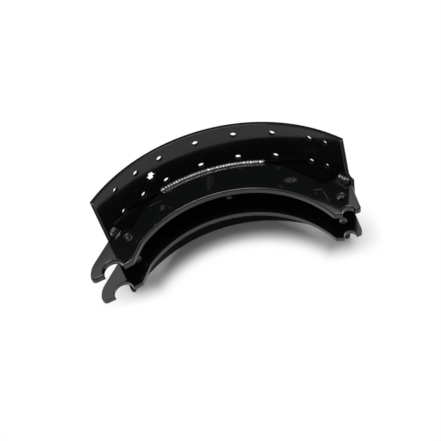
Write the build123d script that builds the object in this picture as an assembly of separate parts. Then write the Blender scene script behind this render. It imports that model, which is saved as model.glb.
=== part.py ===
"""Unlined shoe of an S-cam drum brake, 420 x 180 mm class.

A rolled table carries the lining. Two identical stamped webs stand inside it,
with a hook for the anchor pin at one end and a half-round seat for the cam
roller's journal at the other. Fillet welds join each web to the table.

Millimetres. The shape is worked out about the drum's axis, which is +Z, with
the table's crown on +Y and the anchor end towards -X. Z = 0 is the middle of
the table. Angles are in degrees from the crown, positive towards the anchor
end. The finished solids are moved so that the anchor pin's axis is the origin.
"""
from build123d import *
import os
from math import acos, atan2, cos, degrees, hypot, radians, sin

# Table
LINING_SEAT_RADIUS = 188.0      # outer face of the table
TABLE_THICKNESS = 5.2
TABLE_WIDTH = 180.0
TABLE_ANCHOR_END = 56.2         # angle of the straight end
TABLE_CAM_END = -56.0           # angle of the tongue's end
TONGUE_WIDTH = 60.0
TONGUE_LENGTH = 7.0             # along the lining seat, past the flanges' shoulders
FLANGE_SLANT = 6.5              # what a flange loses from its shoulder to its corner
SHOULDER_RADIUS = 8.0
TABLE_INNER_ROUND = 0.9
TABLE_OUTER_ROUND = 0.5

# Holes in the table
RIVET_HOLE_DIAMETER = 8.2
RIVET_ROWS = (37.2, 75.2)                       # each side of the middle
RIVET_COLUMNS_ANCHOR = (25.0, 75.0, 111.0, 146.0)   # along the lining seat from the crown
RIVET_COLUMNS_CAM = (25.0, 75.0, 124.0, 146.0)
CROWN_HOLE_DIAMETER = 10.0
CROSS_HOLE_LENGTH = 14.0        # along the drum's axis
CROSS_HOLE_WIDTH = 12.0         # round the table
CROSS_HOLE_ARM = 6.5

# Webs
WEB_THICKNESS = 9.5
WEB_GAP = 35.5                  # clear space between the two webs
WEB_DEPTH = 45.7                # at the crown
WEB_ROLLED_EDGE = 1.4           # rounding that the punch leaves on the outer face
WEB_BURR_EDGE = 0.3             # light break on the inner face
CONTACT_ANCHOR_SIDE = 27.5      # the crown contact runs from here ...
CONTACT_CAM_SIDE = -18.3        # ... to here

# Anchor hook, in the hook's own axes: u along its open end, v into the web
ANCHOR_PIN_DIAMETER = 25.0
ANCHOR_CLEARANCE = 0.1          # radial
ANCHOR_DEPTH = 27.2             # pin's axis below the table's inner face
ANCHOR_ANGLE = 71.4
HOOK_TURN = 23.6                # how far the open end is turned from X
HOOK_RADIUS = 31.3
HOOK_OFFSET = (2.5, 0.3)        # centre of the hook's back from the pin's axis
HOOK_END_DEPTH = 2.1            # open end past the pin's axis
HOOK_TIP_ROUND = 8.0
HEEL_WIDTH = 12.5
HEEL_ROUND = 1.5
HEEL_RISE = (20.9, 18.9)        # from the heel's corner to the end of the inner edge

# Cam end, measured from the roller journal's axis along X and Y
JOURNAL_DIAMETER = 15.0
JOURNAL_CLEARANCE = 0.1         # radial
JOURNAL_DEPTH = 32.3            # journal's axis below the table's inner face
JOURNAL_ANGLE = -65.9
TOE_WIDTH = 9.2
TOE_DEPTH = 1.6
TOE_ROUND = 4.0
TIP_WIDTH = 8.4
TIP_DEPTH = 5.0
TIP_ROUND = 4.5

# Reliefs in each web's outer edge, between the crown contact and the end pads
ANCHOR_PAD_START = 51.0
CAM_PAD_START = -49.2
RELIEF_POCKET_ROUND = 6.0
ANCHOR_RELIEF_DEPTH = 18.4
ANCHOR_RELIEF_CORNER = 48.7
ANCHOR_RELIEF_BOW = 2.3
CAM_RELIEF_DEPTH = 21.5
CAM_RELIEF_CORNER = -46.8
CAM_RELIEF_BOW = 6.5

# Spring holes through both webs
ANCHOR_SPRING_HOLE_DIAMETER = 10.0
ANCHOR_SPRING_HOLE_DEPTH = 22.1     # below the table's inner face
ANCHOR_SPRING_HOLE_ANGLE = 52.85
CAM_SPRING_HOLE_DIAMETER = 9.5
CAM_SPRING_HOLE_DEPTH = 23.9
CAM_SPRING_HOLE_ANGLE = -58.0

# Welds on the outer side of each web
CENTRE_WELD_LEG = 7.0
CENTRE_WELD_SPAN = (26.4, -17.6)
END_WELD_LEG = 9.0
ANCHOR_WELD_SPAN = (55.9, 51.2)
CAM_WELD_SPAN = (-49.6, -55.4)
WELD_CROWN = 0.12               # bulge of a weld's face, as a share of its leg
WELD_END_ROUND = 1.6

# Worked out from the sizes above
TABLE_INNER_RADIUS = LINING_SEAT_RADIUS - TABLE_THICKNESS
WEB_INNER_Z = WEB_GAP / 2
WEB_OUTER_Z = WEB_INNER_Z + WEB_THICKNESS
ANCHOR_SEAT_RADIUS = ANCHOR_PIN_DIAMETER / 2 + ANCHOR_CLEARANCE
JOURNAL_SEAT_RADIUS = JOURNAL_DIAMETER / 2 + JOURNAL_CLEARANCE
CUT = 4 * TABLE_THICKNESS       # length of a cutter that passes through the table


def polar(radius, angle):
    """Point at a radius from the drum's axis and an angle from the crown."""
    return Vector(-radius * sin(radians(angle)), radius * cos(radians(angle)))


def inside(depth, angle):
    """Point at a depth below the table's inner face."""
    return polar(TABLE_INNER_RADIUS - depth, angle)


def arc_angle(length):
    """Angle that a length along the lining seat takes up."""
    return degrees(length / LINING_SEAT_RADIUS)


def ring_arc(radius, start, end):
    """Arc about the drum's axis."""
    return ThreePointArc(polar(radius, start), polar(radius, (start + end) / 2), polar(radius, end))


def bowed(start, end, bow):
    """Arc between two points that bows away from the drum's axis."""
    middle = (start + end) / 2
    along = (end - start).normalized()
    outward = Vector(-along.Y, along.X)
    if outward.dot(middle) < 0:
        outward = outward * -1
    return ThreePointArc(start, middle + outward * bow, end)


def tangent_point(point, centre, radius):
    """Where the line from a point touches a circle, on the side away from the inner edge."""
    reach = centre - point
    distance = hypot(reach.X, reach.Y)
    heading = atan2(-reach.Y, -reach.X) + acos(radius / distance)
    return centre + Vector(radius * cos(heading), radius * sin(heading))


def on_table(angle, z):
    """Plane square to the table at an angle and height, facing away from the drum's axis."""
    outward = polar(1, angle)
    foot = polar(LINING_SEAT_RADIUS, angle)
    return Plane(origin=(foot.X, foot.Y, z), x_dir=(-outward.Y, outward.X, 0), z_dir=outward)


def rounded_corner(face, corner, radius):
    """Round the corner of a flat face that lies nearest to a point."""
    return fillet(face.vertices().sort_by_distance(corner)[0], radius)


def table_blank():
    """Rolled strip with straight ends and eased long edges."""
    outer = ring_arc(LINING_SEAT_RADIUS, TABLE_ANCHOR_END, TABLE_CAM_END)
    inner = ring_arc(TABLE_INNER_RADIUS, TABLE_CAM_END, TABLE_ANCHOR_END)
    section = make_face([outer, Line(outer @ 1, inner @ 0), inner, Line(inner @ 1, outer @ 0)])
    strip = extrude(section, amount=TABLE_WIDTH / 2, both=True)
    for radius, rounding in (
        (TABLE_INNER_RADIUS, TABLE_INNER_ROUND),
        (LINING_SEAT_RADIUS, TABLE_OUTER_ROUND),
    ):
        rims = [edge for edge in strip.edges().filter_by(GeomType.CIRCLE)
                if abs(edge.radius - radius) < TABLE_THICKNESS / 10]
        strip = fillet(rims, rounding)
    return strip


def flange_trim():
    """Cutter that shortens one flange at the cam end and leaves the tongue."""
    half_tongue = TONGUE_WIDTH / 2
    edge = TABLE_WIDTH / 2
    beyond = TONGUE_LENGTH + FLANGE_SLANT
    outline = Polyline(
        (-beyond, half_tongue),
        (TONGUE_LENGTH, half_tongue),
        (TONGUE_LENGTH + FLANGE_SLANT, edge),
        (TONGUE_LENGTH + FLANGE_SLANT, edge + beyond),
        (-beyond, edge + beyond),
        close=True,
    )
    shape = make_face(outline)
    shape = rounded_corner(shape, (TONGUE_LENGTH, half_tongue, 0), SHOULDER_RADIUS)
    return extrude(on_table(TABLE_CAM_END, 0) * shape, amount=CUT, both=True)


def cross_hole():
    """Plus-shaped cutter between the second and third columns at the anchor end."""
    angle = arc_angle((RIVET_COLUMNS_ANCHOR[1] + RIVET_COLUMNS_ANCHOR[2]) / 2)
    height = (RIVET_ROWS[0] + RIVET_ROWS[1]) / 2
    upright = Box(CROSS_HOLE_ARM, CROSS_HOLE_LENGTH, CUT)
    bar = Box(CROSS_HOLE_WIDTH, CROSS_HOLE_ARM, CUT)
    return on_table(angle, height) * (upright + bar)


def make_table():
    table = table_blank()
    trim = flange_trim()
    table = table - trim - trim.mirror(Plane.XY)
    columns = [arc_angle(length) for length in RIVET_COLUMNS_ANCHOR]
    columns += [-arc_angle(length) for length in RIVET_COLUMNS_CAM]
    rivet_hole = Cylinder(RIVET_HOLE_DIAMETER / 2, CUT)
    cutters = [on_table(angle, side * row) * rivet_hole
               for angle in columns for row in RIVET_ROWS for side in (-1, 1)]
    cutters.append(on_table(0, 0) * Cylinder(CROWN_HOLE_DIAMETER / 2, CUT))
    cutters.append(cross_hole())
    return table - cutters


def hook_point(u, v):
    """Point in the anchor hook's own axes."""
    turn = radians(HOOK_TURN)
    along = Vector(cos(turn), sin(turn))
    inward = Vector(-sin(turn), cos(turn))
    return inside(ANCHOR_DEPTH, ANCHOR_ANGLE) + along * u + inward * v


def web_outline():
    """Flat shape of a web, drawn once round from the anchor end."""
    seat = ANCHOR_SEAT_RADIUS
    end_v = -HOOK_END_DEPTH
    back = hook_point(*HOOK_OFFSET)
    shoulder = inside(0, TABLE_ANCHOR_END)
    touch = tangent_point(shoulder, back, HOOK_RADIUS)
    tip_u = HOOK_OFFSET[0] - (HOOK_RADIUS ** 2 - (end_v - HOOK_OFFSET[1]) ** 2) ** 0.5
    tip = hook_point(tip_u, end_v)
    side = (touch - back).normalized() + (tip - back).normalized()
    heel = hook_point(seat + HEEL_WIDTH, end_v)
    inner_start = heel + hook_point(*HEEL_RISE) - hook_point(0, 0)

    journal = inside(JOURNAL_DEPTH, JOURNAL_ANGLE)
    bore = JOURNAL_SEAT_RADIUS
    toe = journal + Vector(-bore - TOE_WIDTH, -TOE_DEPTH)
    cam_tip = journal + Vector(bore + TIP_WIDTH, -TIP_DEPTH)
    inner_crown = Vector(0, TABLE_INNER_RADIUS - WEB_DEPTH)
    cam_shoulder = inside(0, TABLE_CAM_END)

    cam_pad = inside(0, CAM_PAD_START)
    cam_pocket = inside(CAM_RELIEF_DEPTH, CAM_RELIEF_CORNER)
    contact_cam = inside(0, CONTACT_CAM_SIDE)
    contact_anchor = inside(0, CONTACT_ANCHOR_SIDE)
    anchor_pocket = inside(ANCHOR_RELIEF_DEPTH, ANCHOR_RELIEF_CORNER)
    anchor_pad = inside(0, ANCHOR_PAD_START)

    edges = [
        Line(shoulder, touch),
        ThreePointArc(touch, back + side.normalized() * HOOK_RADIUS, tip),
        Line(tip, hook_point(-seat, end_v)),
        Line(hook_point(-seat, end_v), hook_point(-seat, 0)),
        ThreePointArc(hook_point(-seat, 0), hook_point(0, seat), hook_point(seat, 0)),
        Line(hook_point(seat, 0), hook_point(seat, end_v)),
        Line(hook_point(seat, end_v), heel),
        Line(heel, inner_start),
        ThreePointArc(inner_start, inner_crown, toe),
        Line(toe, journal + Vector(-bore, -TOE_DEPTH)),
        Line(journal + Vector(-bore, -TOE_DEPTH), journal + Vector(-bore, 0)),
        ThreePointArc(journal + Vector(-bore, 0), journal + Vector(0, bore), journal + Vector(bore, 0)),
        Line(journal + Vector(bore, 0), journal + Vector(bore, -TIP_DEPTH)),
        Line(journal + Vector(bore, -TIP_DEPTH), cam_tip),
        Line(cam_tip, cam_shoulder),
        ring_arc(TABLE_INNER_RADIUS, TABLE_CAM_END, CAM_PAD_START),
        Line(cam_pad, cam_pocket),
        bowed(cam_pocket, contact_cam, CAM_RELIEF_BOW),
        ring_arc(TABLE_INNER_RADIUS, CONTACT_CAM_SIDE, CONTACT_ANCHOR_SIDE),
        bowed(contact_anchor, anchor_pocket, ANCHOR_RELIEF_BOW),
        Line(anchor_pocket, anchor_pad),
        ring_arc(TABLE_INNER_RADIUS, ANCHOR_PAD_START, TABLE_ANCHOR_END),
    ]
    outline = make_face(edges)
    for corner, radius in (
        (tip, HOOK_TIP_ROUND),
        (heel, HEEL_ROUND),
        (toe, TOE_ROUND),
        (cam_tip, TIP_ROUND),
        (cam_pocket, RELIEF_POCKET_ROUND),
        (anchor_pocket, RELIEF_POCKET_ROUND),
    ):
        outline = rounded_corner(outline, corner, radius)
    anchor_spring = inside(ANCHOR_SPRING_HOLE_DEPTH, ANCHOR_SPRING_HOLE_ANGLE)
    cam_spring = inside(CAM_SPRING_HOLE_DEPTH, CAM_SPRING_HOLE_ANGLE)
    return outline - [
        Pos(anchor_spring) * Circle(ANCHOR_SPRING_HOLE_DIAMETER / 2),
        Pos(cam_spring) * Circle(CAM_SPRING_HOLE_DIAMETER / 2),
    ]


def make_web():
    """Upper web: the rolled edge is on the outer, upper face."""
    web = extrude(Pos(0, 0, WEB_INNER_Z) * web_outline(), amount=WEB_THICKNESS)
    faces = web.faces().filter_by(Axis.Z).sort_by(Axis.Z)
    web = fillet(faces[-1].edges(), WEB_ROLLED_EDGE)
    inner = web.faces().filter_by(Axis.Z).sort_by(Axis.Z)[0]
    return chamfer(inner.edges(), WEB_BURR_EDGE)


def make_weld(leg, span):
    """Fillet weld in the corner between the upper web's outer face and the table."""
    wall = TABLE_INNER_RADIUS
    rolled = WEB_ROLLED_EDGE
    eased = rolled * (1 - 0.5 ** 0.5)
    bulge = leg * (0.5 + WELD_CROWN)
    on_web = (wall - leg, WEB_OUTER_Z)
    on_table_wall = (wall, WEB_OUTER_Z + leg)
    groove_start = (wall - rolled, WEB_OUTER_Z)
    groove_middle = (wall - eased, WEB_OUTER_Z - eased)
    groove_end = (wall, WEB_OUTER_Z - rolled)
    section = make_face([
        Line(on_web, groove_start),
        ThreePointArc(groove_start, groove_middle, groove_end),
        Line(groove_end, on_table_wall),
        ThreePointArc(on_table_wall, (wall - bulge, WEB_OUTER_Z + bulge), on_web),
    ])
    sweep = max(span) - min(span)
    weld = revolve(Plane.XZ * section, Axis.Z, revolution_arc=sweep)
    ends = [edge for edge in weld.edges() if abs(edge.length - leg * 1.48) < leg * 0.12]
    ends = [edge for edge in ends if abs((edge @ 0.5).Z - WEB_OUTER_Z - bulge) < leg / 10]
    weld = fillet(ends, WELD_END_ROUND)
    return Rot(0, 0, 90 + min(span)) * weld


def main():
    web = make_web()
    welds = {
        "centre_weld": make_weld(CENTRE_WELD_LEG, CENTRE_WELD_SPAN),
        "anchor_weld": make_weld(END_WELD_LEG, ANCHOR_WELD_SPAN),
        "cam_weld": make_weld(END_WELD_LEG, CAM_WELD_SPAN),
    }
    nodes = {"shoe_table": make_table()}
    for name, upper in {"web": web, **welds}.items():
        nodes[name + "_upper"] = upper
        nodes[name + "_lower"] = upper.mirror(Plane.XY)
    pin = inside(ANCHOR_DEPTH, ANCHOR_ANGLE)
    os.makedirs("parts", exist_ok=True)
    for name, solid in nodes.items():
        export_step(Pos(-pin.X, -pin.Y, 0) * solid, f"parts/{name}.step")


if __name__ == "__main__":
    main()
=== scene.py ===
"""Gloss black brake shoe lying on its side on a white studio floor.

Everything is in metres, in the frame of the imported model: the anchor pin's
axis is the origin, +Z is the drum's axis and +Y goes out through the crown.
"""
import bmesh
import bpy
from math import acos, atan2, cos, pi, radians, sin, tan
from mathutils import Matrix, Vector


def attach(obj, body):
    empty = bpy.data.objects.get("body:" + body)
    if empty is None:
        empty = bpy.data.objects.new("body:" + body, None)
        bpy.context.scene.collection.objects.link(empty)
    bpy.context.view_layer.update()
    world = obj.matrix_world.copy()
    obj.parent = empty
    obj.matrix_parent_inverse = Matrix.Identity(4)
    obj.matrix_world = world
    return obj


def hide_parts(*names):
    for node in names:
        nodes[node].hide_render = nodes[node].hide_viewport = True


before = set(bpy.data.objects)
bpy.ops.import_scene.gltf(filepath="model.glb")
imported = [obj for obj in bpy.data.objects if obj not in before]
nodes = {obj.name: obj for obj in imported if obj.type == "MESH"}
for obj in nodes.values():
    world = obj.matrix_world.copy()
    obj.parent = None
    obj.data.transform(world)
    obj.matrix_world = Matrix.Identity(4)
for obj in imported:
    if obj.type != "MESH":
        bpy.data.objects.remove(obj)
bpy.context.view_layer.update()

MM = 0.001

# The shoe's sizes that the webs, the beads and the paint follow
DRUM_AXIS = Vector((0.147473, -0.049628, 0.0))
TABLE_INNER_RADIUS = 0.1828
TABLE_THICKNESS = 0.0052
TABLE_HALF_WIDTH = 0.090
WEB_OUTER_Z = 0.0258                # outer face of the upper web
HALVES = (("upper", 1), ("lower", -1))      # and the way that each faces along the drum's axis

# Weld beads. The leg is the fillet's size, and the span its two ends as angles from the crown,
# positive towards the anchor end. Flat is how much the face is drawn out where it is flattest.
# Pitch and depth are the ripples', and swell is the height of the slow lumps under them.
BEADS = dict(
    centre_weld=dict(
        paint="bright", leg=0.0056, span=(27.0, -18.2), flat=4.0,
        pitch=0.0040, depth=0.00054, swell=0.0004, seed=3,
    ),
    anchor_weld=dict(
        paint="calm", leg=0.0090, span=(55.9, 51.2), flat=1.2,
        pitch=0.0036, depth=0.00060, swell=0.0010, seed=7,
    ),
    cam_weld=dict(
        paint="calm", leg=0.0090, span=(-49.6, -55.4), flat=1.2,
        pitch=0.0036, depth=0.00060, swell=0.0010, seed=11,
    ),
)
BEAD_BOW = 0.25                     # how far a ripple bows back, as a share of the leg

# One stamped web, in millimetres and degrees. A place is a depth below the table's inner face
# and an angle from the crown; the hook's sizes are along and across its open end.
WEB = dict(
    thickness=7.6, depth=46.4, bedded=0.25,
    contact=(-18.3, 27.5), table=(-56.0, 56.2),
    rolled=1.75, lip=1.2, draw=60.0, sheared=0.1, land=0.5, burr=0.3,
    pin=(25.4, 70.7), pin_seat=12.6,
    hook_turn=23.6, hook_radius=31.3, hook_centre=(2.6, -1.7),
    tip_depth=2.0, tip_rise=2.0, tip_round=6.0,
    heel_width=12.6, heel_depth=4.0, heel_rise=(20.9, 18.8), heel_round=1.5,
    journal=(32.7, -66.25), journal_seat=7.6,
    toe_width=10.3, toe_depth=1.9, toe_rise=2.2, toe_round=4.0,
    cam_tip=8.2, cam_tip_round=4.5,
    anchor_pad=51.0, anchor_relief=9.6, anchor_pocket=(17.5, 48.5), anchor_pocket_round=6.0,
    cam_pad=-48.6, cam_relief=10.9, cam_pocket=(20.3, -47.1), cam_pocket_round=9.0,
    anchor_hole=(22.3, 53.0, 5.0), cam_hole=(22.9, -57.7, 4.75),
)

# Marks in the upper web's paint, real ones and painted reflections: place about the drum's axis,
# turn, half length and half width, in millimetres and degrees, and how light each one is
KNOCKS_AND_REFLECTED_SPOTS = (
    (82.6, 131.5, -10, 8.5, 5.5, 0.9),
    (109.4, 126.5, -30, 3.2, 1.8, 0.9),
    # these two are painted reflections, pale spots painted on the web's face, not knocks
    (-82.9, 133.1, 40, 2.2, 1.6, 1.0),
    (-72.7, 130.9, 10, 1.6, 1.2, 1.0),
    (70.5, 155.8, 0, 1.2, 1.0, 1.0),
)
SCRATCHES = (
    (111.0, 105.6, -8, 5.5, 0.8, 0.7),
    (118.0, 93.0, -82, 10.5, 0.7, 0.5),
    (-91.4, 143.4, 15, 10.5, 0.7, 0.6),
)
# painted reflection: a faint pale streak painted across the upper web's face
REFLECTED_STREAKS = (
    (-19.0, 160.0, 83, 17.0, 3.2, 0.16),
    (-14.0, 162.0, 83, 12.0, 2.0, 0.10),
)
MARK_REACH = 0.003                  # how far a mark reaches off the face that it lies on
KNOCK_DEPTH = 0.0016
SCRATCH_LIP = 0.0003

BLACK = (0.0036, 0.0042, 0.0040, 1.0)
# pale grey for dust, knocks and scratches, and for the reflections painted on the upper web
GREY_DUST_AND_SHEEN = (0.05, 0.05, 0.048, 1.0)

# How bright the room is in the paint, by the height and the depth that a reflection points at
ROOM = dict(
    ceiling=1.5, ceiling_edge=(0.735, 0.785),
    low_wall=0.36, high_wall=0.10, wall_edge=(0.50, 0.70),
    backdrop=0.70, backdrop_edge=(0.28, 0.45),
    behind_viewer=0.12, viewer_edge=(-0.20, 0.25),
    tilt=0.06, soft_fill=0.40,
)


# --- node building helpers -------------------------------------------------------------

def place(tree, kind, **settings):
    """Add a node and set its properties."""
    node = tree.nodes.new(kind)
    for key, value in settings.items():
        setattr(node, key, value)
    return node


def plug(tree, node, socket, value):
    """Give an input either a link or a plain value."""
    if isinstance(value, bpy.types.NodeSocket):
        tree.links.new(value, node.inputs[socket])
    else:
        node.inputs[socket].default_value = value


def calc(tree, operation, *values, clamp=False):
    """Math node with links or numbers on its inputs."""
    node = place(tree, "ShaderNodeMath", operation=operation, use_clamp=clamp)
    for index, value in enumerate(values):
        plug(tree, node, index, value)
    return node.outputs[0]


def smooth_step(tree, value, edge, ends=(0.0, 1.0)):
    """Value that goes smoothly from one end to the other while another crosses an edge."""
    node = place(tree, "ShaderNodeMapRange", interpolation_type="SMOOTHSTEP")
    plug(tree, node, "Value", value)
    for socket, number in zip(("From Min", "From Max", "To Min", "To Max"), (*edge, *ends)):
        node.inputs[socket].default_value = number
    return node.outputs["Result"]


def about_drum_axis(tree, position):
    """Distance from the drum's axis, and how far out through the crown and along the axis."""
    split = place(tree, "ShaderNodeSeparateXYZ")
    tree.links.new(position, split.inputs[0])
    x = calc(tree, "SUBTRACT", split.outputs["X"], DRUM_AXIS.x)
    y = calc(tree, "SUBTRACT", split.outputs["Y"], DRUM_AXIS.y)
    square = calc(tree, "ADD", calc(tree, "MULTIPLY", x, x), calc(tree, "MULTIPLY", y, y))
    return calc(tree, "SQRT", square), y, split.outputs["Z"]


def add_sockets(tree, sockets):
    """Named inputs and outputs of a node group, and its two end nodes."""
    for name, direction, kind, value in sockets:
        socket = tree.interface.new_socket(name, in_out=direction, socket_type=kind)
        if value is not None:
            socket.default_value = value
    return place(tree, "NodeGroupInput"), place(tree, "NodeGroupOutput")


def link_to_scene(name, data):
    """Object of its own for a mesh, a lamp or a camera."""
    thing = bpy.data.objects.new(name, data)
    bpy.context.scene.collection.objects.link(thing)
    return thing


# --- paint ------------------------------------------------------------------------------

def paint_surface_group():
    """Unevenness of sprayed paint: thickness waves, fine orange peel, dust and dull patches."""
    tree = bpy.data.node_groups.new("sprayed_paint_surface", "ShaderNodeTree")
    source, sink = add_sockets(tree, (
        ("Vector", "INPUT", "NodeSocketVector", None),
        ("Peel Size", "INPUT", "NodeSocketFloat", 0.0022),
        ("Peel Height", "INPUT", "NodeSocketFloat", 0.00001),
        ("Wave Size", "INPUT", "NodeSocketFloat", 0.03),
        ("Wave Height", "INPUT", "NodeSocketFloat", 0.00004),
        ("Dust", "INPUT", "NodeSocketFloat", 0.3),
        ("Height", "OUTPUT", "NodeSocketFloat", None),
        ("Dull", "OUTPUT", "NodeSocketFloat", None),
        ("Specks", "OUTPUT", "NodeSocketFloat", None),
    ))
    cloud_scale, patch_scale, grit_scale = 28.0, 55.0, 420.0
    cloud_gain, cloud_from = 2.4, -0.75
    patch_gain, patch_from = 6.0, -3.4
    speck_radius, speck_edge = 0.16, 12.0

    def noise(scale, detail, roughness=0.5):
        node = place(tree, "ShaderNodeTexNoise")
        tree.links.new(source.outputs["Vector"], node.inputs["Vector"])
        plug(tree, node, "Scale", scale)
        plug(tree, node, "Detail", detail)
        plug(tree, node, "Roughness", roughness)
        return node.outputs["Fac"]

    peel = noise(calc(tree, "DIVIDE", 1.0, source.outputs["Peel Size"]), detail=2.0)
    wave = noise(calc(tree, "DIVIDE", 1.0, source.outputs["Wave Size"]), detail=3.0)
    height = calc(
        tree, "ADD",
        calc(tree, "MULTIPLY", peel, source.outputs["Peel Height"]),
        calc(tree, "MULTIPLY", wave, source.outputs["Wave Height"]),
    )
    tree.links.new(height, sink.inputs["Height"])
    clouds = noise(cloud_scale, detail=5.0, roughness=0.62)
    dull = calc(tree, "MULTIPLY_ADD", clouds, cloud_gain, cloud_from, clamp=True)
    tree.links.new(dull, sink.inputs["Dull"])
    grit = place(tree, "ShaderNodeTexVoronoi", feature="F1")
    tree.links.new(source.outputs["Vector"], grit.inputs["Vector"])
    plug(tree, grit, "Scale", grit_scale)
    speck = calc(tree, "SUBTRACT", speck_radius, grit.outputs["Distance"])
    speck = calc(tree, "MULTIPLY", speck, speck_edge, clamp=True)
    patches = noise(patch_scale, detail=2.0)
    patch = calc(tree, "MULTIPLY_ADD", patches, patch_gain, patch_from, clamp=True)
    speck = calc(tree, "MULTIPLY", calc(tree, "MULTIPLY", speck, patch), source.outputs["Dust"])
    tree.links.new(speck, sink.inputs["Specks"])
    return tree


def paint_mark_group():
    """Mask of one ragged mark: 1 inside an ellipse on a flat face, fading at its edge."""
    tree = bpy.data.node_groups.new("paint_mark", "ShaderNodeTree")
    source, sink = add_sockets(tree, (
        ("Vector", "INPUT", "NodeSocketVector", None),
        ("Centre", "INPUT", "NodeSocketVector", None),
        ("Turn", "INPUT", "NodeSocketFloat", 0.0),
        ("Size", "INPUT", "NodeSocketVector", None),
        ("Mask", "OUTPUT", "NodeSocketFloat", None),
    ))
    ragged_scale, ragged_reach, ragged_from, edge_gain = 700.0, -1.4, 1.7, 4.0
    turned = place(tree, "ShaderNodeVectorRotate", rotation_type="Z_AXIS", invert=True)
    tree.links.new(source.outputs["Vector"], turned.inputs["Vector"])
    tree.links.new(source.outputs["Centre"], turned.inputs["Center"])
    tree.links.new(source.outputs["Turn"], turned.inputs["Angle"])
    off = place(tree, "ShaderNodeVectorMath", operation="SUBTRACT")
    tree.links.new(turned.outputs["Vector"], off.inputs[0])
    tree.links.new(source.outputs["Centre"], off.inputs[1])
    share = place(tree, "ShaderNodeVectorMath", operation="DIVIDE")
    tree.links.new(off.outputs["Vector"], share.inputs[0])
    tree.links.new(source.outputs["Size"], share.inputs[1])
    far = place(tree, "ShaderNodeVectorMath", operation="LENGTH")
    tree.links.new(share.outputs["Vector"], far.inputs[0])
    ragged = place(tree, "ShaderNodeTexNoise")
    tree.links.new(source.outputs["Vector"], ragged.inputs["Vector"])
    plug(tree, ragged, "Scale", ragged_scale)
    plug(tree, ragged, "Detail", 2.0)
    edge = calc(tree, "MULTIPLY_ADD", ragged.outputs["Fac"], ragged_reach, ragged_from)
    within = calc(tree, "SUBTRACT", edge, far.outputs["Value"])
    mask = calc(tree, "MULTIPLY", within, edge_gain, clamp=True)
    tree.links.new(mask, sink.inputs["Mask"])
    return tree


PAINT_SURFACE = paint_surface_group()
PAINT_MARK = paint_mark_group()


def cut_wall_mask(tree, where):
    """1 on the walls of the table's holes and cut ends, which lie between its two faces."""
    off_face, off_rim = 0.0004, 0.004
    radius, _, z = about_drum_axis(tree, where)
    middle = TABLE_INNER_RADIUS + TABLE_THICKNESS / 2
    deep = calc(tree, "COMPARE", radius, middle, TABLE_THICKNESS / 2 - off_face)
    low = calc(tree, "LESS_THAN", calc(tree, "ABSOLUTE", z), TABLE_HALF_WIDTH - off_rim)
    return calc(tree, "MULTIPLY", deep, low)


def marks(tree, where, listed):
    """Largest mask of the listed marks, and the same weighted by how light each is."""
    whole, light = 0.0, 0.0
    for x, y, turn, length, width, paleness in listed:
        mark = place(tree, "ShaderNodeGroup", node_tree=PAINT_MARK)
        tree.links.new(where, mark.inputs["Vector"])
        mark.inputs["Centre"].default_value = DRUM_AXIS + Vector((x * MM, y * MM, WEB_OUTER_Z))
        mark.inputs["Turn"].default_value = radians(turn)
        mark.inputs["Size"].default_value = (length * MM, width * MM, MARK_REACH)
        mask = mark.outputs["Mask"]
        whole = calc(tree, "MAXIMUM", whole, mask)
        light = calc(tree, "MAXIMUM", light, calc(tree, "MULTIPLY", mask, paleness))
    return whole, light


def wear_and_painted_reflections(tree, where, pale, height):
    """Paleness and height of paint with its knocks and scratches, and with painted reflections."""
    crumb_scale, fleck_from = 520.0, 0.62
    # the knocks' list also holds two painted reflections, pale spots on the web's face
    knock_and_spot_mask, knock_and_spot_light = marks(tree, where, KNOCKS_AND_REFLECTED_SPOTS)
    lines, line_light = marks(tree, where, SCRATCHES)
    # painted reflection: the pale streak painted on the web's face
    painted_streak = marks(tree, where, REFLECTED_STREAKS)[1]
    crumbs = place(tree, "ShaderNodeTexVoronoi", feature="F1")
    tree.links.new(where, crumbs.inputs["Vector"])
    plug(tree, crumbs, "Scale", crumb_scale)
    torn = calc(tree, "MULTIPLY", knock_and_spot_mask, crumbs.outputs["Distance"])
    height = calc(tree, "MULTIPLY_ADD", torn, -KNOCK_DEPTH, height)
    height = calc(tree, "MULTIPLY_ADD", lines, SCRATCH_LIP, height)
    flecks = calc(tree, "GREATER_THAN", crumbs.outputs["Distance"], fleck_from)
    light = calc(tree, "MAXIMUM", calc(tree, "MULTIPLY", knock_and_spot_light, flecks), line_light)
    pale = calc(tree, "ADD", calc(tree, "MAXIMUM", pale, light), painted_streak, clamp=True)
    return pale, height


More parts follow.
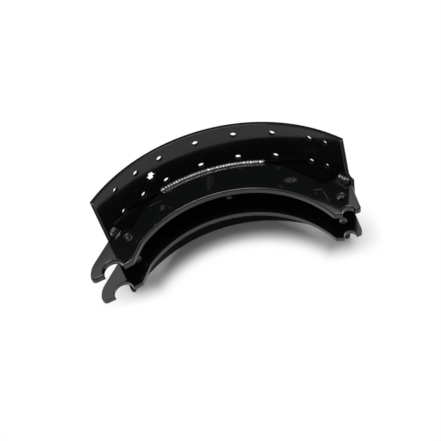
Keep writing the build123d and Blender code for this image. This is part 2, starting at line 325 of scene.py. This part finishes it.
def black_paint(name, gloss, wave, peel=(0.0022, 0.000010), dust=0.3, shine=0.5,
                dull_cuts=False, wear_and_reflections=False):
    """Gloss black enamel. Gloss is its least and greatest roughness, and wave and peel are
    the size and height of its unevenness."""
    speck_roughness, cut_roughness = 0.5, 0.85
    material = bpy.data.materials.new(name)
    material.use_nodes = True
    tree = material.node_tree
    tree.nodes.clear()
    out = place(tree, "ShaderNodeOutputMaterial")
    shader = place(tree, "ShaderNodeBsdfPrincipled")
    shader.inputs["Specular IOR Level"].default_value = shine
    tree.links.new(shader.outputs["BSDF"], out.inputs["Surface"])
    where = place(tree, "ShaderNodeTexCoord").outputs["Object"]
    surface = place(tree, "ShaderNodeGroup", node_tree=PAINT_SURFACE)
    tree.links.new(where, surface.inputs["Vector"])
    for socket, value in (
        ("Peel Size", peel[0]), ("Peel Height", peel[1]),
        ("Wave Size", wave[0]), ("Wave Height", wave[1]), ("Dust", dust),
    ):
        surface.inputs[socket].default_value = value
    pale, height = surface.outputs["Specks"], surface.outputs["Height"]
    rough = place(tree, "ShaderNodeMapRange")
    tree.links.new(surface.outputs["Dull"], rough.inputs["Value"])
    plug(tree, rough, "To Min", gloss[0])
    plug(tree, rough, "To Max", gloss[1])
    rougher = calc(tree, "MULTIPLY_ADD", pale, speck_roughness, rough.outputs["Result"])
    if dull_cuts:
        walls = cut_wall_mask(tree, where)
        rougher = calc(tree, "MULTIPLY_ADD", walls, cut_roughness, rougher, clamp=True)
    # knocks and scratches, and the reflections painted on the upper web
    if wear_and_reflections:
        pale, height = wear_and_painted_reflections(tree, where, pale, height)
    tree.links.new(rougher, shader.inputs["Roughness"])
    colour = place(tree, "ShaderNodeMix", data_type="RGBA")
    tree.links.new(pale, colour.inputs["Factor"])
    colour.inputs["A"].default_value = BLACK
    colour.inputs["B"].default_value = GREY_DUST_AND_SHEEN
    tree.links.new(colour.outputs["Result"], shader.inputs["Base Color"])
    bump = place(tree, "ShaderNodeBump")
    bump.inputs["Distance"].default_value = 1.0
    tree.links.new(height, bump.inputs["Height"])
    tree.links.new(bump.outputs["Normal"], shader.inputs["Normal"])
    return material


TABLE_PAINT = black_paint(
    "table_black_enamel", gloss=(0.07, 0.14), wave=(0.045, 0.00005), shine=0.31, dull_cuts=True,
)
WEB_PAINT = black_paint(
    "web_black_enamel", gloss=(0.06, 0.14), wave=(0.030, 0.00004), dust=0.6, wear_and_reflections=True,
)
BEAD_PAINT = dict(
    bright=black_paint(
        "bead_black_enamel", gloss=(0.03, 0.07), wave=(0.008, 0.00002),
        peel=(0.0016, 0.000008), shine=1.0,
    ),
    calm=black_paint(
        "end_bead_black_enamel", gloss=(0.06, 0.12), wave=(0.006, 0.00006),
        peel=(0.0016, 0.000008), shine=0.4,
    ),
)


# --- weld beads -------------------------------------------------------------------------

def bead_section(leg, flat):
    """Radius and height of the points round a bead, each with how far across it is.

    Across goes from -1 at the toe on the web to 1 at the table, and is 2 on the buried back.
    """
    wall, face = TABLE_INNER_RADIUS, WEB_OUTER_Z
    toe, toe_rows, toe_across, toe_start = 0.22 * leg, 8, 0.6, 0.35
    toe_rise = toe * tan(radians(21))
    body_rows, first_lean, last_lean = 26, radians(-6), radians(86)
    flattest, flat_spread = radians(67), radians(15)
    buried, sunk, back = 0.0006, 0.001, 0.9 * leg
    section = []
    for row in range(toe_rows):
        share = row / toe_rows
        climb = toe_rise * share * min(1.0, toe_start + share)
        section.append((wall - leg + toe * share, face + climb, toe_across * share - 1))
    body = [Vector((0.0, 0.0))]
    for row in range(body_rows):
        lean = first_lean + (last_lean - first_lean) * (row + 0.5) / body_rows
        off_flat = min(abs(lean - flattest) / flat_spread, 1)
        stride = 1 + flat * cos(off_flat * pi / 2)
        body.append(body[-1] + Vector((-sin(lean), cos(lean))) * stride)
    scale = (leg - toe) / -body[-1].x
    for row, point in enumerate(body):
        radius = wall - leg + toe - point.x * scale
        height = face + toe_rise + point.y * scale
        across = toe_across - 1 + (2 - toe_across) * row / body_rows
        section.append((radius, height, across))
    top = section[-1][1]
    section.append((wall + buried, top, 2.0))
    section.append((wall + buried, face - sunk, 2.0))
    section.append((wall - back, face - buried, 2.0))
    return section


def bead_blank(name, bead, side):
    """Smooth closed bead with blunt round ends, carrying how far along and across each point is."""
    leg, (start, end) = bead["leg"], bead["span"]
    length = radians(start - end) * TABLE_INNER_RADIUS
    step_length, fewest_steps = 0.00035, 24
    steps = max(fewest_steps, int(length / step_length))
    nose = 0.42 * leg
    core_radius, core_height = TABLE_INNER_RADIUS - 0.30 * leg, WEB_OUTER_Z + 0.30 * leg
    section = bead_section(leg, bead["flat"])
    verts, alongs, acrosses = [], [], []
    for step in range(steps + 1):
        travel = length * step / steps
        near = min(travel, length - travel)
        shrink = (1 - (1 - near / nose) ** 2) ** 0.5 if near < nose else 1.0
        angle = radians(start) - travel / TABLE_INNER_RADIUS
        for radius, height, across in section:
            r = core_radius + (radius - core_radius) * shrink
            z = core_height + (height - core_height) * shrink
            verts.append(DRUM_AXIS + Vector((-r * sin(angle), r * cos(angle), side * z)))
            alongs.append(travel)
            acrosses.append(across)
    around = len(section)
    faces = []
    for ring in range(0, steps * around, around):
        for row in range(around):
            a, b = ring + row, ring + (row + 1) % around
            faces.append((a, b, b + around, a + around))
    mesh = bpy.data.meshes.new(name)
    mesh.from_pydata(verts, [], faces)
    mesh.attributes.new("along", "FLOAT", "POINT").data.foreach_set("value", alongs)
    mesh.attributes.new("across", "FLOAT", "POINT").data.foreach_set("value", acrosses)
    return link_to_scene(name, mesh)


def ripple_tree():
    """Ripples that bow back along a bead's face, with uneven spacing and a few swells."""
    tree = bpy.data.node_groups.new("weld_ripples", "GeometryNodeTree")
    source, sink = add_sockets(tree, (
        ("Bead", "INPUT", "NodeSocketGeometry", None),
        ("Pitch", "INPUT", "NodeSocketFloat", 0.0026),
        ("Depth", "INPUT", "NodeSocketFloat", 0.0003),
        ("Bow", "INPUT", "NodeSocketFloat", 0.0016),
        ("Swell", "INPUT", "NodeSocketFloat", 0.0004),
        ("Seed", "INPUT", "NodeSocketFloat", 0.0),
        ("Paint", "INPUT", "NodeSocketMaterial", None),
        ("Bead", "OUTPUT", "NodeSocketGeometry", None),
    ))
    seed_stride, early_peak, toe_fade = 1.7, 0.7, 3.0
    uneven_scale, uneven_size = 160.0, 0.0022
    swell_scale, swell_size, swell_offset = 90.0, 2.0, 5.0
    seam = 0.00001

    def carried(name):
        node = place(tree, "GeometryNodeInputNamedAttribute", data_type="FLOAT")
        node.inputs["Name"].default_value = name
        return node.outputs["Attribute"]

    along, across = carried("along"), carried("across")

    def wander(scale, size, offset):
        node = place(tree, "ShaderNodeTexNoise", noise_dimensions="1D")
        start = calc(tree, "MULTIPLY_ADD", source.outputs["Seed"], seed_stride, offset)
        plug(tree, node, "W", calc(tree, "ADD", along, start))
        plug(tree, node, "Scale", scale)
        plug(tree, node, "Detail", 2.0)
        return calc(tree, "MULTIPLY", calc(tree, "SUBTRACT", node.outputs["Fac"], 0.5), size)

    bowed = calc(tree, "MULTIPLY", calc(tree, "MULTIPLY", across, across), source.outputs["Bow"])
    uneven = wander(uneven_scale, uneven_size, 0.0)
    travel = calc(tree, "ADD", calc(tree, "ADD", along, bowed), uneven)
    phase = calc(tree, "FRACT", calc(tree, "DIVIDE", travel, source.outputs["Pitch"]))
    # each ripple rises quickly and drops slowly
    hump = calc(tree, "SINE", calc(tree, "MULTIPLY", calc(tree, "POWER", phase, early_peak), pi))
    # none on the toe's edge and on the buried back
    toe = calc(tree, "MAXIMUM", calc(tree, "MULTIPLY", across, -1.0), 0.0)
    fade = calc(tree, "SUBTRACT", 1.0, calc(tree, "POWER", toe, toe_fade), clamp=True)
    fade = calc(tree, "MULTIPLY", fade, calc(tree, "SUBTRACT", 2.0, across, clamp=True))
    lift = calc(tree, "MULTIPLY", calc(tree, "MULTIPLY", hump, source.outputs["Depth"]), fade)
    lumps = wander(swell_scale, swell_size, swell_offset)
    swell = calc(tree, "MULTIPLY", lumps, source.outputs["Swell"])
    lift = calc(tree, "ADD", lift, calc(tree, "MULTIPLY", swell, fade))
    normal = place(tree, "GeometryNodeInputNormal")
    push = place(tree, "ShaderNodeVectorMath", operation="SCALE")
    tree.links.new(normal.outputs["Normal"], push.inputs[0])
    tree.links.new(lift, push.inputs["Scale"])
    move = place(tree, "GeometryNodeSetPosition")
    tree.links.new(source.outputs["Bead"], move.inputs["Geometry"])
    tree.links.new(push.outputs["Vector"], move.inputs["Offset"])
    seal = place(tree, "GeometryNodeMergeByDistance")
    plug(tree, seal, "Distance", seam)
    tree.links.new(move.outputs["Geometry"], seal.inputs["Geometry"])
    smooth = place(tree, "GeometryNodeSetShadeSmooth")
    tree.links.new(seal.outputs["Geometry"], smooth.inputs["Geometry"])
    real = place(tree, "GeometryNodeRealizeInstances")
    tree.links.new(smooth.outputs["Geometry"], real.inputs["Geometry"])
    coat = place(tree, "GeometryNodeSetMaterial")
    tree.links.new(real.outputs["Geometry"], coat.inputs["Geometry"])
    tree.links.new(source.outputs["Paint"], coat.inputs["Material"])
    tree.links.new(coat.outputs["Geometry"], sink.inputs["Bead"])
    return tree


def grown(blank, tree, **inputs):
    """Give an object the plain mesh that a Geometry Nodes tree makes from it."""
    modifier = blank.modifiers.new(tree.name, "NODES")
    modifier.node_group = tree
    sockets = {item.name: item.identifier for item in tree.interface.items_tree
               if item.item_type == "SOCKET" and item.in_out == "INPUT"}
    for name, value in inputs.items():
        modifier[sockets[name]] = value
    bpy.context.view_layer.update()
    evaluated = blank.evaluated_get(bpy.context.evaluated_depsgraph_get())
    mesh = bpy.data.meshes.new_from_object(evaluated)
    blank.modifiers.remove(modifier)
    old = blank.data
    blank.data = mesh
    bpy.data.meshes.remove(old)
    mesh.name = blank.name


def turn_outward(mesh):
    """Turn a closed mesh's faces outwards."""
    work = bmesh.new()
    work.from_mesh(mesh)
    bmesh.ops.recalc_face_normals(work, faces=work.faces)
    work.to_mesh(mesh)
    work.free()


def weld_beads():
    """The three beads on each web's outer side."""
    ripples = ripple_tree()
    for node_stem, bead in BEADS.items():
        for half, side in HALVES:
            piece = bead_blank(f"{node_stem}_bead_{half}", bead, side)
            turn_outward(piece.data)
            grown(
                piece, ripples,
                Pitch=bead["pitch"], Depth=bead["depth"], Bow=bead["leg"] * BEAD_BOW,
                Swell=bead["swell"], Seed=float(bead["seed"] + (side > 0)),
                Paint=BEAD_PAINT[bead["paint"]],
            )
            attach(piece, "root")
            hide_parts(f"{node_stem}_{half}")


# --- stamped webs -----------------------------------------------------------------------

def inside(depth, angle):
    """Point at a depth below the table's inner face and an angle from the crown."""
    radius = TABLE_INNER_RADIUS / MM - depth
    return Vector((-radius * sin(radians(angle)), radius * cos(radians(angle))))


def arc(start, middle, end, step=0.8):
    """Points along the circle through three points, without the last."""
    (ax, ay), (bx, by), (cx, cy) = start, middle, end
    spread = 2 * (ax * (by - cy) + bx * (cy - ay) + cx * (ay - by))
    aa, bb, cc = start.length_squared, middle.length_squared, end.length_squared
    centre = Vector((
        (aa * (by - cy) + bb * (cy - ay) + cc * (ay - by)) / spread,
        (aa * (cx - bx) + bb * (ax - cx) + cc * (bx - ax)) / spread,
    ))
    radius, fewest = (start - centre).length, 6
    first, via, last = (atan2(*(point - centre).yx) for point in (start, middle, end))
    sweep = (last - first) % (2 * pi)
    if (via - first) % (2 * pi) > sweep:
        sweep -= 2 * pi
    count = max(fewest, int(abs(sweep) * radius / step))
    turns = (first + sweep * index / count for index in range(count))
    return [centre + radius * Vector((cos(turn), sin(turn))) for turn in turns]


def rim(start, end, depth):
    """Arc about the drum's axis."""
    return arc(inside(depth, start), inside(depth, (start + end) / 2), inside(depth, end))


def half_round(centre, across, over):
    """Fine half circle about a centre, from one side over the top to the other."""
    return arc(centre - across, centre + over, centre + across, step=0.5)


def circle(centre, radius):
    """Closed run of points round a hole."""
    up, right = Vector((0, radius)), Vector((radius, 0))
    return half_round(centre, -up, right) + half_round(centre, up, -right)


def walked(run, distance):
    """Where a walk along a run of points ends, and the index of the next point."""
    for after in range(1, len(run)):
        gap = (run[after] - run[after - 1]).length
        if distance <= gap:
            return run[after - 1].lerp(run[after], distance / gap), after
        distance -= gap
    return run[-1], len(run) - 1


def eased(points, corner, radius):
    """Closed run of points with the corner that lies nearest to a point rounded."""
    pieces = 8
    at = min(range(len(points)), key=lambda index: (points[index] - corner).length)
    run = points[at:] + points[:at]
    turn = pi - (run[1] - run[0]).angle(run[-1] - run[0])
    cut = radius * tan(turn / 2)
    start, kept_from = walked(run + run[:1], cut)
    end, kept_to = walked(run[:1] + run[:0:-1] + run[:1], cut)
    leave = (run[kept_from - 1] - start).normalized()
    arrive = (run[(len(run) - kept_to + 1) % len(run)] - end).normalized()
    bend = arrive.angle(-leave)
    handle = 4 / 3 * tan(bend / 4) * (start - end).length / (2 * sin(bend / 2))
    curve = []
    for index in range(pieces + 1):
        t = index / pieces
        curve.append(
            end * (1 - t) ** 3 + (end + arrive * handle) * (3 * t * (1 - t) ** 2)
            + (start + leave * handle) * (3 * t * t * (1 - t)) + start * t ** 3
        )
    return curve + run[kept_from:len(run) - kept_to + 1]


def toe_corner(w):
    """Corner where the inner edge ends at the cam end."""
    width = w["journal_seat"] + w["toe_width"]
    return inside(*w["journal"]) + Vector((-width, w["toe_rise"] - w["toe_depth"]))


def hook_run(w):
    """Run round the hook from the table to the inner edge, and its tip and heel."""
    turn = radians(w["hook_turn"])
    along, inward = Vector((cos(turn), sin(turn))), Vector((-sin(turn), cos(turn)))
    pin = inside(*w["pin"])

    def hook(u, v):
        return pin + along * u + inward * v

    seat, reach = w["pin_seat"], w["hook_radius"]
    shoulder = inside(-w["bedded"], w["table"][1])
    back = hook(*w["hook_centre"])
    away = back - shoulder
    heading = atan2(-away.y, -away.x) + acos(reach / away.length)
    touch = back + reach * Vector((cos(heading), sin(heading)))
    back_u, back_v = w["hook_centre"]
    tip_v = w["tip_rise"] - w["tip_depth"]
    tip = hook(back_u - (reach ** 2 - (tip_v - back_v) ** 2) ** 0.5, tip_v)
    side = ((touch - back).normalized() + (tip - back).normalized()).normalized()
    heel = hook(seat + w["heel_width"], -w["heel_depth"])
    run = [shoulder]
    run += arc(touch, back + side * reach, tip)
    run += [tip, hook(-seat, -w["tip_depth"])]
    run += half_round(pin, along * seat, inward * seat)
    run += [hook(seat, 0), hook(seat, -w["heel_depth"]), heel]
    inner_start = heel + hook(*w["heel_rise"]) - pin
    run += arc(inner_start, inside(w["depth"], 0), toe_corner(w))
    return run, tip, heel


def cam_run(w):
    """Run from the toe over the roller journal's seat to the cam tip, and that tip."""
    journal, bore = inside(*w["journal"]), Vector((w["journal_seat"], 0))
    cam_tip = journal + bore + Vector((w["cam_tip"], 0))
    run = [toe_corner(w), journal - bore - Vector((0, w["toe_depth"]))]
    run += half_round(journal, bore, Vector((0, w["journal_seat"])))
    return run + [journal + bore, cam_tip], cam_tip


def table_run(w):
    """Run along the table from the cam end to the anchor end, and its two pockets."""
    bed = -w["bedded"]
    contact_cam, contact_anchor = w["contact"]
    cam_pocket, anchor_pocket = inside(*w["cam_pocket"]), inside(*w["anchor_pocket"])
    cam_middle = inside(w["cam_relief"], (contact_cam + w["cam_pocket"][1]) / 2)
    anchor_middle = inside(w["anchor_relief"], (contact_anchor + w["anchor_pocket"][1]) / 2)
    run = rim(w["table"][0], w["cam_pad"], bed)
    run += [inside(bed, w["cam_pad"])]
    run += arc(cam_pocket, cam_middle, inside(bed, contact_cam))
    run += rim(contact_cam, contact_anchor, bed)
    run += arc(inside(bed, contact_anchor), anchor_middle, anchor_pocket)
    run += [anchor_pocket]
    run += rim(w["anchor_pad"], w["table"][1], bed)
    return run, cam_pocket, anchor_pocket


def web_outline(w):
    """Outline of a web, once round from the table's anchor end, with its corners rounded."""
    hook, tip, heel = hook_run(w)
    cam, cam_tip = cam_run(w)
    table, cam_pocket, anchor_pocket = table_run(w)
    points = hook + cam + table
    for corner, radius in (
        (tip, w["tip_round"]), (heel, w["heel_round"]), (toe_corner(w), w["toe_round"]),
        (cam_tip, w["cam_tip_round"]), (cam_pocket, w["cam_pocket_round"]),
        (anchor_pocket, w["anchor_pocket_round"]),
    ):
        points = eased(points, corner, radius)
    return points


def inset(points, amount):
    """Closed run of points moved into the steel, which lies to the left of it."""
    sharpest = -0.6
    moved = []
    for before, here, after in zip(points[-1:] + points[:-1], points, points[1:] + points[:1]):
        a, b = (here - before).normalized(), (after - here).normalized()
        square_a, square_b = Vector((-a.y, a.x)), Vector((-b.y, b.x))
        share = amount / (1 + max(square_a.dot(square_b), sharpest))
        moved.append(here + (square_a + square_b) * share)
    return moved


def handed(points, left=True):
    """Closed run of points that goes round anticlockwise, or clockwise."""
    area = sum(p.cross(q) for p, q in zip(points, points[1:] + points[:1]))
    return points if (area > 0) == left else points[::-1]


def edge_levels(w):
    """Inset and height of the rings down a web's edge, from its outer face to its inner one.

    A tight round comes first, then the slope that the die draws down, the sheared wall and
    the light break that is left of the burr.
    """
    top, bottom = WEB_OUTER_Z / MM, WEB_OUTER_Z / MM - w["thickness"]
    rolls, lip, slope = 5, w["lip"], radians(w["draw"])
    levels = []
    for index in range(rolls + 1):
        turn = slope * index / rolls
        levels.append((w["rolled"] - lip * sin(turn), top - lip * (1 - cos(turn))))
    drawn = levels[-1][0] - w["sheared"]
    levels.append((w["sheared"], levels[-1][1] - drawn * tan(slope)))
    levels.append((0.0, levels[-1][1] - w["land"]))
    levels.append((0.0, bottom + w["burr"]))
    levels.append((w["burr"], bottom))
    return levels


def stamped_web(name, w, side):
    """Closed plate with a rolled edge on its outer face and a light break on its inner one."""
    loops = [handed(web_outline(w))]
    for key in ("anchor_hole", "cam_hole"):
        depth, angle, radius = w[key]
        loops.append(handed(circle(inside(depth, angle), radius), left=False))
    work = bmesh.new()
    outer_cap, inner_cap = [], []
    for loop in loops:
        rings = []
        for amount, height in edge_levels(w):
            rings.append([
                work.verts.new(DRUM_AXIS + Vector((spot.x, spot.y, side * height)) * MM)
                for spot in inset(loop, amount)
            ])
        count = len(loop)
        for upper, lower in zip(rings, rings[1:]):
            for index in range(count):
                after = (index + 1) % count
                work.faces.new((upper[index], upper[after], lower[after], lower[index]))
        for cap, ring in ((outer_cap, rings[0]), (inner_cap, rings[-1])):
            cap += [work.edges.get((ring[index], ring[(index + 1) % count])) for index in range(count)]
    for cap in (outer_cap, inner_cap):
        bmesh.ops.triangle_fill(work, use_beauty=True, use_dissolve=False, edges=cap)
    bmesh.ops.recalc_face_normals(work, faces=work.faces)
    mesh = bpy.data.meshes.new(name)
    work.to_mesh(mesh)
    work.free()
    mesh.shade_smooth()
    mesh.set_sharp_from_angle(angle=radians(35))
    mesh.materials.append(WEB_PAINT)
    web = link_to_scene(name, mesh)
    crisp = web.modifiers.new("flat_faces_stay_flat", "WEIGHTED_NORMAL")
    crisp.keep_sharp = True
    crisp.weight = 100
    return web


def stamped_webs():
    """The two webs, each a mirror of the other."""
    for half, side in HALVES:
        plate = stamped_web(f"stamped_web_{half}", WEB, side)
        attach(plate, "root")
        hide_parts(f"web_{half}")


# --- rolled table -----------------------------------------------------------------------

def rolled_table():
    """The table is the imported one, painted."""
    materials = nodes["shoe_table"].data.materials
    materials.clear()
    materials.append(TABLE_PAINT)


# --- studio -----------------------------------------------------------------------------

def studio_floor():
    """Matt white card that runs into plain white away from the shoe."""
    mesh = bpy.data.meshes.new("studio_floor")
    reach = 4.0
    corners = ((-reach, -reach), (reach, -reach), (reach, reach), (-reach, reach))
    mesh.from_pydata([(x, y, -TABLE_HALF_WIDTH) for x, y in corners], [], [(0, 1, 2, 3)])
    floor = link_to_scene("studio_floor", mesh)
    material = bpy.data.materials.new("white_card")
    material.use_nodes = True
    tree = material.node_tree
    card = tree.nodes["Principled BSDF"]
    card.inputs["Base Color"].default_value = (0.97, 0.97, 0.97, 1.0)
    card.inputs["Roughness"].default_value = 0.9
    card.inputs["Specular IOR Level"].default_value = 0.0
    white = place(tree, "ShaderNodeEmission")
    where = place(tree, "ShaderNodeNewGeometry")
    radius, y, _ = about_drum_axis(tree, where.outputs["Position"])
    fade = 0.0
    for value, edge in (
        (radius, (0.172, 0.128)),               # out of the arch
        (radius, (0.215, 0.300)),               # away behind
        (y, (0.118, 0.076)),                    # past the shoe's two ends
    ):
        fade = calc(tree, "MAXIMUM", fade, smooth_step(tree, value, edge))
    path = place(tree, "ShaderNodeLightPath")
    mixed = place(tree, "ShaderNodeMixShader")
    plug(tree, mixed, 0, calc(tree, "MULTIPLY", fade, path.outputs["Is Camera Ray"]))
    tree.links.new(card.outputs["BSDF"], mixed.inputs[1])
    tree.links.new(white.outputs["Emission"], mixed.inputs[2])
    tree.links.new(mixed.outputs["Shader"], tree.nodes["Material Output"].inputs["Surface"])
    mesh.materials.append(material)


def softbox(name, size, watts, place_at, aim):
    """Rectangular lamp that faces a point."""
    lamp = bpy.data.lights.new(name, "AREA")
    lamp.shape = "RECTANGLE"
    lamp.size, lamp.size_y = size
    lamp.energy = watts
    holder = link_to_scene(name, lamp)
    holder.location = place_at
    holder.rotation_euler = (Vector(place_at) - Vector(aim)).to_track_quat("Z", "Y").to_euler()


def studio_room():
    """White room: plain white to the camera, a soft fill, and walls and a ceiling in the paint."""
    world = bpy.data.worlds.new("white_studio")
    bpy.context.scene.world = world
    world.use_nodes = True
    tree = world.node_tree
    sky = tree.nodes["Background"]
    sky.inputs["Color"].default_value = (1.0, 1.0, 1.0, 1.0)
    path = place(tree, "ShaderNodeLightPath")
    where = place(tree, "ShaderNodeTexCoord")
    split = place(tree, "ShaderNodeSeparateXYZ")
    tree.links.new(where.outputs["Generated"], split.inputs[0])
    depth, height = split.outputs["Y"], split.outputs["Z"]
    rise = calc(tree, "MULTIPLY_ADD", depth, ROOM["tilt"], height)
    ceiling = smooth_step(tree, rise, ROOM["ceiling_edge"], (0.0, ROOM["ceiling"]))
    backdrop = smooth_step(tree, height, ROOM["backdrop_edge"], (ROOM["backdrop"], 0.0))
    in_front = smooth_step(tree, depth, ROOM["viewer_edge"], (ROOM["behind_viewer"], 1.0))
    wall = smooth_step(tree, rise, ROOM["wall_edge"], (ROOM["low_wall"], ROOM["high_wall"]))
    lit = calc(tree, "MULTIPLY_ADD", calc(tree, "ADD", ceiling, backdrop), in_front, wall)
    mirrored = calc(tree, "MAXIMUM", path.outputs["Is Glossy Ray"], path.outputs["Is Transmission Ray"])
    fill = calc(tree, "MULTIPLY", calc(tree, "SUBTRACT", 1.0, mirrored), ROOM["soft_fill"])
    unseen = calc(tree, "ADD", calc(tree, "MULTIPLY", mirrored, lit), fill)
    seen = path.outputs["Is Camera Ray"]
    hidden = calc(tree, "MULTIPLY", unseen, calc(tree, "SUBTRACT", 1.0, seen))
    plug(tree, sky, "Strength", calc(tree, "ADD", seen, hidden))


def camera():
    """Camera that looks down on the arch from the front and a little to the right."""
    data = bpy.data.cameras.new("product_camera")
    data.sensor_fit = "HORIZONTAL"
    data.sensor_width = 36.0
    data.lens = 56.98
    data.clip_start, data.clip_end = 0.05, 20.0
    holder = link_to_scene("product_camera", data)
    holder.location = (0.17784, -0.53293, 0.64713)
    holder.rotation_euler = (radians(41.716), radians(10.595), radians(-7.348))
    bpy.context.scene.camera = holder


weld_beads()
stamped_webs()
rolled_table()
studio_floor()
studio_room()
softbox(
    "overhead_softbox", size=(0.76, 0.56), watts=20.0,
    place_at=(0.15, -0.05, 1.5), aim=(0.15, -0.05, 0.0),
)
camera()
bpy.context.scene.view_settings.view_transform = "Standard"
